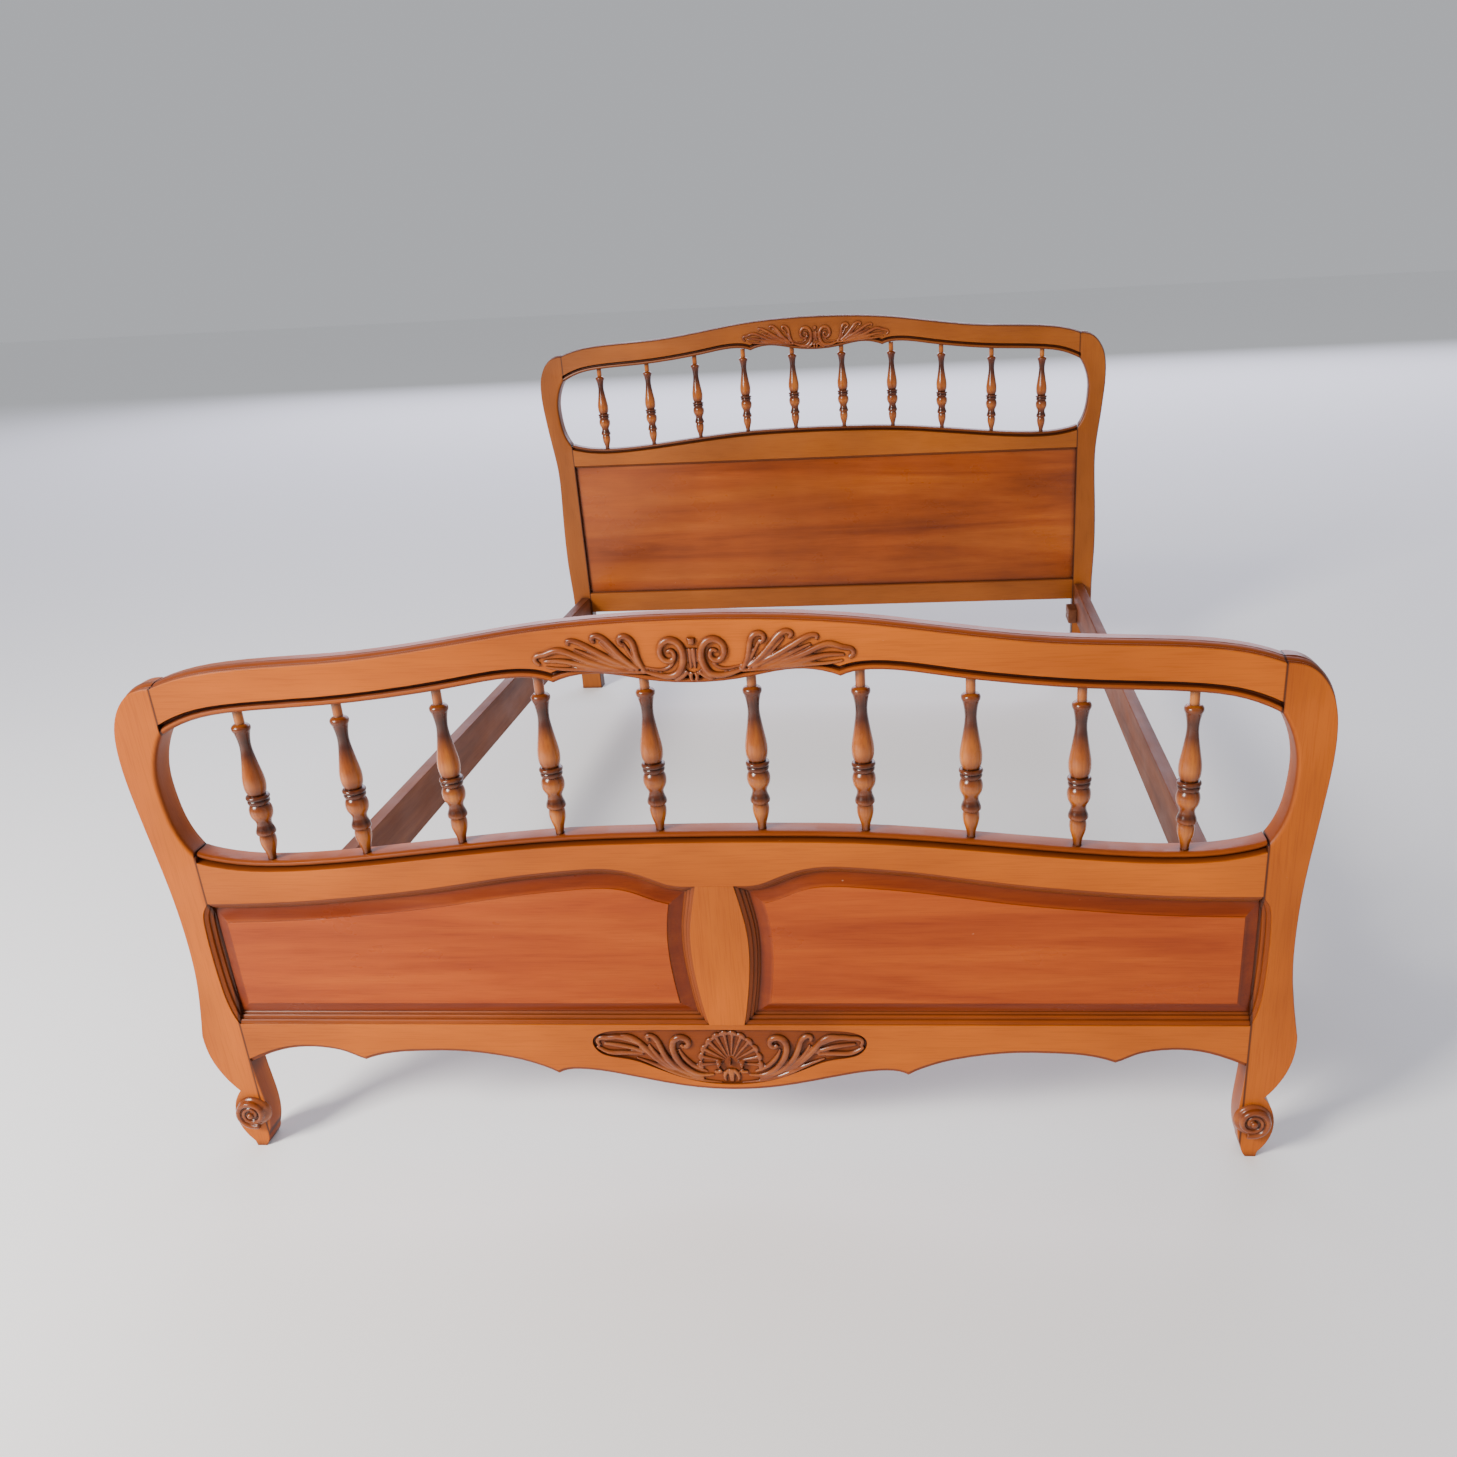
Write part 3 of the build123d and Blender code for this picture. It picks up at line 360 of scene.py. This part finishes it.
def ridges(strokes, face, rise, flat, both_sides=True):
    """Tapering ridges on a face, from strokes of (points, radii in millimetres), as a bmesh."""
    pencil = bpy.data.curves.new("pencil", "CURVE")
    pencil.dimensions = "3D"
    pencil.bevel_depth = 0.001
    pencil.bevel_resolution = 3
    pencil.resolution_u = 5
    pencil.use_fill_caps = True
    for points, radii in strokes:
        line = pencil.splines.new("NURBS")
        line.points.add(len(points) - 1)
        line.order_u = 4 if len(points) > 3 else len(points)
        line.use_endpoint_u = True
        for index, (x, z) in enumerate(points):
            part = index / (len(points) - 1) * (len(radii) - 1)
            low = min(int(part), len(radii) - 2)
            line.points[index].co = (x / 1000, 0.0, z / 1000, 1.0)
            line.points[index].radius = radii[low] + (radii[low + 1] - radii[low]) * (part - low)
    holder = bpy.data.objects.new("pencil", pencil)
    bpy.context.scene.collection.objects.link(holder)
    mesh = settled(holder)
    bpy.data.objects.remove(holder)
    shape = bmesh.new()
    shape.from_mesh(mesh)
    bpy.data.meshes.remove(mesh)
    if both_sides:
        bmesh.ops.mirror(shape, geom=shape.verts[:] + shape.edges[:] + shape.faces[:], axis="X",
                         merge_dist=0.0)
    bmesh.ops.recalc_face_normals(shape, faces=shape.faces)
    bmesh.ops.scale(shape, vec=(1, flat, 1), verts=shape.verts)
    bmesh.ops.translate(shape, vec=(0, face, rise), verts=shape.verts)
    return shape


def carved(piece, grain=0.0009, smoothing=2):
    """Run the ridges together into one skin, as if cut from the solid."""
    skin = piece.modifiers.new("skin", "REMESH")
    skin.mode = "VOXEL"
    skin.voxel_size = grain
    skin.use_smooth_shade = True
    soft = piece.modifiers.new("soft", "SMOOTH")
    soft.factor = 0.5
    soft.iterations = smoothing
    mesh = settled(piece)
    piece.modifiers.clear()
    piece.data = mesh


CREST_STROKES = [
    ([(62, 736), (46, 730), (30, 727), (18, 732), (12, 744), (10, 758), (15, 771), (27, 777), (39, 770),
      (41, 757), (34, 747), (24, 748), (20, 757), (26, 764), (31, 759)],
     (2.4, 4.2, 5.6, 5.4, 5.0, 4.6, 4.2, 3.6, 3.0)),
    ([(60, 741), (46, 737), (34, 736), (26, 742), (21, 750)], (1.4, 2.6, 2.8, 2.0)),
    ([(0.6, 777), (1.0, 769)], (5.2, 4.0)),
    ([(2.0, 764), (2.8, 752), (2.6, 738)], (3.6, 3.4, 2.0)),
    ([(1.6, 733), (6.0, 727.5), (1.8, 722)], (2.6, 3.0, 2.2)),
    ([(7, 735), (13, 727), (24, 722.5)], (3.4, 3.6, 1.6)),
    ([(60, 735), (66, 745), (70, 757), (71, 768), (74, 777), (82, 782), (90, 779), (90, 772), (84, 769)],
     (3.0, 4.2, 4.4, 4.2, 3.8, 3.2)),
    ([(66, 741), (74, 752), (80, 764), (84, 773)], (1.8, 3.2, 3.2, 1.8)),
    ([(68, 738), (80, 747), (92, 759), (101, 771), (110, 781), (120, 784), (126, 778), (119, 774)],
     (3.0, 4.6, 4.8, 4.2, 3.6, 2.8)),
    ([(76, 740), (92, 752), (104, 764), (114, 775)], (1.8, 3.4, 3.4, 1.8)),
    ([(74, 738), (94, 748), (114, 759), (132, 770), (146, 778), (157, 777), (152, 771)],
     (3.0, 4.4, 4.8, 4.0, 3.2, 2.4)),
    ([(84, 738), (106, 748), (126, 757), (146, 766)], (1.8, 3.6, 3.6, 2.0)),
    ([(86, 737), (112, 744), (138, 753), (158, 764), (172, 766), (184, 759), (196, 760), (199, 752),
      (191, 747)], (2.6, 4.2, 4.8, 4.4, 3.8, 3.4, 3.0)),
    ([(96, 737), (124, 742), (150, 749), (170, 753), (186, 751)], (2.2, 4.0, 4.4, 3.6, 2.4)),
    ([(60, 734), (90, 736), (120, 739), (146, 740.5), (168, 740.5), (184, 744)], (2.4, 3.2, 3.2, 2.8, 2.0)),
]
for end, face, rise in (("foot", FOOT_FACE, 0.0), ("head", HEAD_FACE, HEAD_RISE)):
    relief = ridges(CREST_STROKES, face + 0.0004, rise, 1.2)
    carved(shown(f"{end}_crest_carving", relief, carved_wood))


# ------------------------------------------------------------------ bottom rail and its shell
# The scalloped rail has a long cartouche sunk in its middle. In it a scallop shell stands over
# two beads and a palmette, with scrolls and leaves running out to both ends.
SUNK = 0.0042
CUTTER_PROUD = 0.01
WALL_LEAN = (1.012, 1, 1.03)
CARTOUCHE_MIDDLE_Z = 0.163
CARTOUCHE = [(-194, 187), (-190, 197), (-178, 204), (-155, 208), (0, 209), (155, 208), (178, 204),
             (190, 197), (194, 187), (189, 174), (176, 164), (138, 159), (104, 143), (70, 128),
             (34, 119), (0, 117), (-34, 119), (-70, 128), (-104, 143), (-138, 159), (-176, 164),
             (-189, 174)]


def sunk_cartouche(outline, face, depth):
    """A cutter with the cartouche's outline, reaching from in front of the face to its floor."""
    pencil = bpy.data.curves.new("cutter", "CURVE")
    pencil.dimensions = "2D"
    pencil.fill_mode = "BOTH"
    pencil.resolution_u = 6
    line = pencil.splines.new("NURBS")
    line.points.add(len(outline) - 1)
    line.order_u = 3
    line.use_cyclic_u = True
    for point, (x, z) in zip(line.points, outline):
        point.co = (x / 1000, z / 1000, 0.0, 1.0)
    holder = bpy.data.objects.new("cutter", pencil)
    bpy.context.scene.collection.objects.link(holder)
    mesh = settled(holder)
    bpy.data.objects.remove(holder)
    shape = bmesh.new()
    shape.from_mesh(mesh)
    bmesh.ops.remove_doubles(shape, verts=shape.verts, dist=0.00001)
    bmesh.ops.rotate(shape, cent=(0, 0, 0), matrix=Matrix.Rotation(math.radians(90), 3, "X"),
                     verts=shape.verts)
    bmesh.ops.translate(shape, vec=(0, face + depth, 0), verts=shape.verts)
    grown = bmesh.ops.extrude_face_region(shape, geom=shape.faces[:])
    new = [part for part in grown["geom"] if isinstance(part, bmesh.types.BMVert)]
    bmesh.ops.translate(shape, vec=(0, -depth - CUTTER_PROUD, 0), verts=new)
    bmesh.ops.scale(shape, vec=WALL_LEAN, space=Matrix.Translation((0, 0, -CARTOUCHE_MIDDLE_Z)), verts=new)
    bmesh.ops.recalc_face_normals(shape, faces=shape.faces)
    shape.to_mesh(mesh)
    shape.free()
    cutter = bpy.data.objects.new("cutter", mesh)
    bpy.context.scene.collection.objects.link(cutter)
    return cutter


bottom_rail = sanded("foot_bottom_rail", foot_rail_wood)
cutter = sunk_cartouche(CARTOUCHE, FOOT_FACE, SUNK)
sinking = bottom_rail.modifiers.new("sinking", "BOOLEAN")
sinking.operation = "DIFFERENCE"
sinking.solver = "EXACT"
sinking.object = cutter
sunk_mesh = settled(bottom_rail)
bottom_rail.modifiers.clear()
bottom_rail.data = sunk_mesh
bpy.data.objects.remove(cutter)

HINGE_Z = 152
SHELL_TALLER = 0.19


def on_shell(angle, reach):
    """A point of the shell, as far out from its hinge as reach, and drawn up towards the top."""
    way = math.radians(angle)
    return (reach * math.cos(way), HINGE_Z + reach * (1 + SHELL_TALLER * math.sin(way)) * math.sin(way))


SHELL_STROKES = []
for flute in (82, 65, 48, 31, 14, -4):
    SHELL_STROKES.append(([on_shell(flute, reach) for reach in (9, 24, 41)], (1.0, 2.2, 3.0)))
    lobe = [on_shell(flute - 7, 40), on_shell(flute - 5.5, 45.5), on_shell(flute + 5.5, 46),
            on_shell(flute + 7, 40)]
    SHELL_STROKES.append((lobe, (2.2, 3.8, 3.8, 2.2)))
SHELL_STROKES += [
    ([(15.5, 149), (16.5, 149.5), (17.5, 149)], (7.6, 8.2, 7.6)),
    ([(0.1, 154), (0.8, 154)], (7.0, 7.0)),
    ([(1, 142), (1.6, 134), (1.2, 120)], (3.0, 4.0, 2.0)),
    ([(4, 140), (10, 134), (12, 128), (8, 121)], (3.0, 3.6, 3.2, 1.8)),
    ([(13, 139), (19, 135), (24, 138)], (3.0, 3.4, 2.4)),
    ([(25, 132), (42, 129), (58, 137), (72, 151), (80, 167), (82, 182), (77, 193), (66, 196), (57, 190),
      (57, 181), (64, 177), (69, 183)], (2.0, 3.6, 5.0, 5.6, 5.6, 5.0, 4.6, 4.0, 3.4)),
    ([(34, 137), (48, 143), (60, 153), (68, 164), (72, 175)], (1.8, 3.6, 4.0, 3.6, 2.0)),
    ([(40, 125), (62, 132), (80, 146), (92, 162), (98, 178), (102, 192), (111, 200), (119, 196), (114, 189)],
     (2.4, 4.0, 5.0, 5.2, 4.8, 4.2, 3.6, 3.0)),
    ([(56, 130), (78, 140), (96, 154), (108, 170), (114, 183)], (1.8, 3.6, 4.2, 3.6, 2.0)),
    ([(82, 139), (104, 156), (118, 174), (130, 190), (144, 199), (156, 196)], (2.4, 4.6, 5.2, 4.8, 4.2, 3.0)),
    ([(120, 179), (136, 190), (156, 198), (172, 193), (184, 196), (190, 188), (184, 181)],
     (3.0, 4.4, 4.6, 4.2, 4.0, 3.4, 3.0)),
    ([(120, 170), (140, 180), (160, 183), (178, 184)], (2.8, 4.2, 4.2, 2.6)),
    ([(124, 167), (144, 170), (162, 167), (178, 170), (189, 180)], (2.8, 4.2, 4.2, 3.6, 3.0)),
    ([(134, 160), (116, 153), (98, 144), (78, 133), (56, 124), (34, 120), (14, 118)],
     (1.8, 3.2, 3.8, 3.8, 3.4, 2.8, 1.6)),
]
shell = ridges(SHELL_STROKES, FOOT_FACE + SUNK, 0.0, 1.15)
carved(shown("shell_carving", shell, carved_wood))


# ------------------------------------------------------------------ snail feet
# The block glued to the front of each foot, turned to a dome and carved with one spiral round
# a small eye.
VOLUTE_X, VOLUTE_Z = 722.0, 64.0
SPIRAL_PROUD = 0.0075
EYE_PROUD, EYE_RADIUS = 0.0112, 0.0052
DOME = [(0.0, -9.0), (9.0, -8.6), (15.0, -7.4), (20.5, -5.6), (24.0, -2.8), (25.8, 1.0), (26.0, 3.0),
        (0.0, 3.0)]
for side, sign in (("left", -1), ("right", 1)):
    spiral = [(x * sign, z) for x, z in curl(VOLUTE_X, VOLUTE_Z, 250, 1.9, 22.5, 6.5, steps=30)]
    shape = ridges([(spiral, (4.8, 4.4, 4.0, 3.4, 3.0))], 0.0, 0.0, 1.25, both_sides=False)
    bmesh.ops.translate(shape, vec=(0, -SPIRAL_PROUD, 0), verts=shape.verts)
    outline = [shape.verts.new((r / 1000, y / 1000, 0)) for r, y in DOME]
    rim = [shape.edges.new(pair) for pair in zip(outline, outline[1:])]
    bmesh.ops.spin(shape, geom=outline + rim, cent=(0, 0, 0), axis=(0, 1, 0), steps=48,
                   angle=math.tau, use_merge=True)
    dome = [vert for vert in shape.verts if abs(vert.co.x) < 0.1 and vert.co.z < 0.03]
    centre = Vector((sign * VOLUTE_X / 1000, 0, VOLUTE_Z / 1000))
    bmesh.ops.translate(shape, vec=centre, verts=dome)
    eye = bmesh.ops.create_uvsphere(shape, u_segments=24, v_segments=12, radius=EYE_RADIUS)["verts"]
    bmesh.ops.translate(shape, vec=centre + Vector((0, -EYE_PROUD, 0)), verts=eye)
    bmesh.ops.translate(shape, vec=(0, FOOT_FACE, 0), verts=shape.verts)
    bmesh.ops.remove_doubles(shape, verts=shape.verts, dist=0.00001)
    bmesh.ops.recalc_face_normals(shape, faces=shape.faces)
    foot = shown(f"foot_volute_{side}_carved", shape, carved_wood, (f"foot_volute_{side}",))
    carved(foot, grain=0.0008, smoothing=1)


# ------------------------------------------------------------------ floor, light and camera
# A pale studio floor, a broad cool light high behind the headboard, a key from the front left
# and a weak fill from the right. The camera stands at the foot, a little right of the middle.
FLOOR_REACH = 30
floor_shape = bmesh.new()
bmesh.ops.create_grid(floor_shape, x_segments=1, y_segments=1, size=FLOOR_REACH)
floor_mesh = bpy.data.meshes.new("studio_floor")
floor_shape.to_mesh(floor_mesh)
floor_shape.free()
floor = bpy.data.objects.new("studio_floor", floor_mesh)
bpy.context.scene.collection.objects.link(floor)
paper = bpy.data.materials.new("paper")
paper.use_nodes = True
paper_shader = paper.node_tree.nodes["Principled BSDF"]
paper_shader.inputs["Base Color"].default_value = (0.93, 0.93, 0.93, 1)
paper_shader.inputs["Roughness"].default_value = 0.9
floor_mesh.materials.append(paper)

world = bpy.data.worlds.new("studio")
world.use_nodes = True
sky = world.node_tree.nodes["Background"]
sky.inputs["Color"].default_value = (0.93, 0.95, 1.0, 1)
sky.inputs["Strength"].default_value = 0.52
bpy.context.scene.world = world


def soft_light(name, place, target, wide, tall, power, colour):
    lamp = bpy.data.lights.new(name, "AREA")
    lamp.shape = "RECTANGLE"
    lamp.size, lamp.size_y = wide, tall
    lamp.energy = power
    lamp.color = colour
    holder = bpy.data.objects.new(name, lamp)
    holder.location = place
    holder.rotation_euler = (Vector(target) - Vector(place)).to_track_quat("-Z", "Y").to_euler()
    holder.visible_camera = False
    bpy.context.scene.collection.objects.link(holder)


soft_light("sky_panel", (0, 9.5, 5.0), (0, -0.6, 0.4), 14.0, 7.0, 1150, (0.80, 0.79, 1.0))
soft_light("key", (-2.9, -3.3, 2.6), (-0.3, -0.8, 0.6), 1.3, 1.3, 330, (1.0, 0.96, 0.90))
soft_light("fill", (4.2, -3.4, 2.0), (0, 0, 0.4), 3.0, 3.0, 8, (1.0, 0.97, 0.94))

LENS_PLACE = (0.2846, -2.4568, 1.2034)
LENS_TURN = Vector((0.3938, 0.0838, -0.0343))
level = Matrix(((1, 0, 0), (0, 0, -1), (0, 1, 0)))
right, down, forward = Matrix.Rotation(LENS_TURN.length, 3, LENS_TURN.normalized()) @ level
lens = bpy.data.cameras.new("camera")
lens.sensor_width = 36.0
lens.lens = 30.32
lens.shift_x = -0.0626
lens.shift_y = 0.0196
camera = bpy.data.objects.new("camera", lens)
turn = Matrix((right, -down, -forward)).transposed().to_4x4()
camera.matrix_world = Matrix.Translation(LENS_PLACE) @ turn
bpy.context.scene.collection.objects.link(camera)
bpy.context.scene.camera = camera
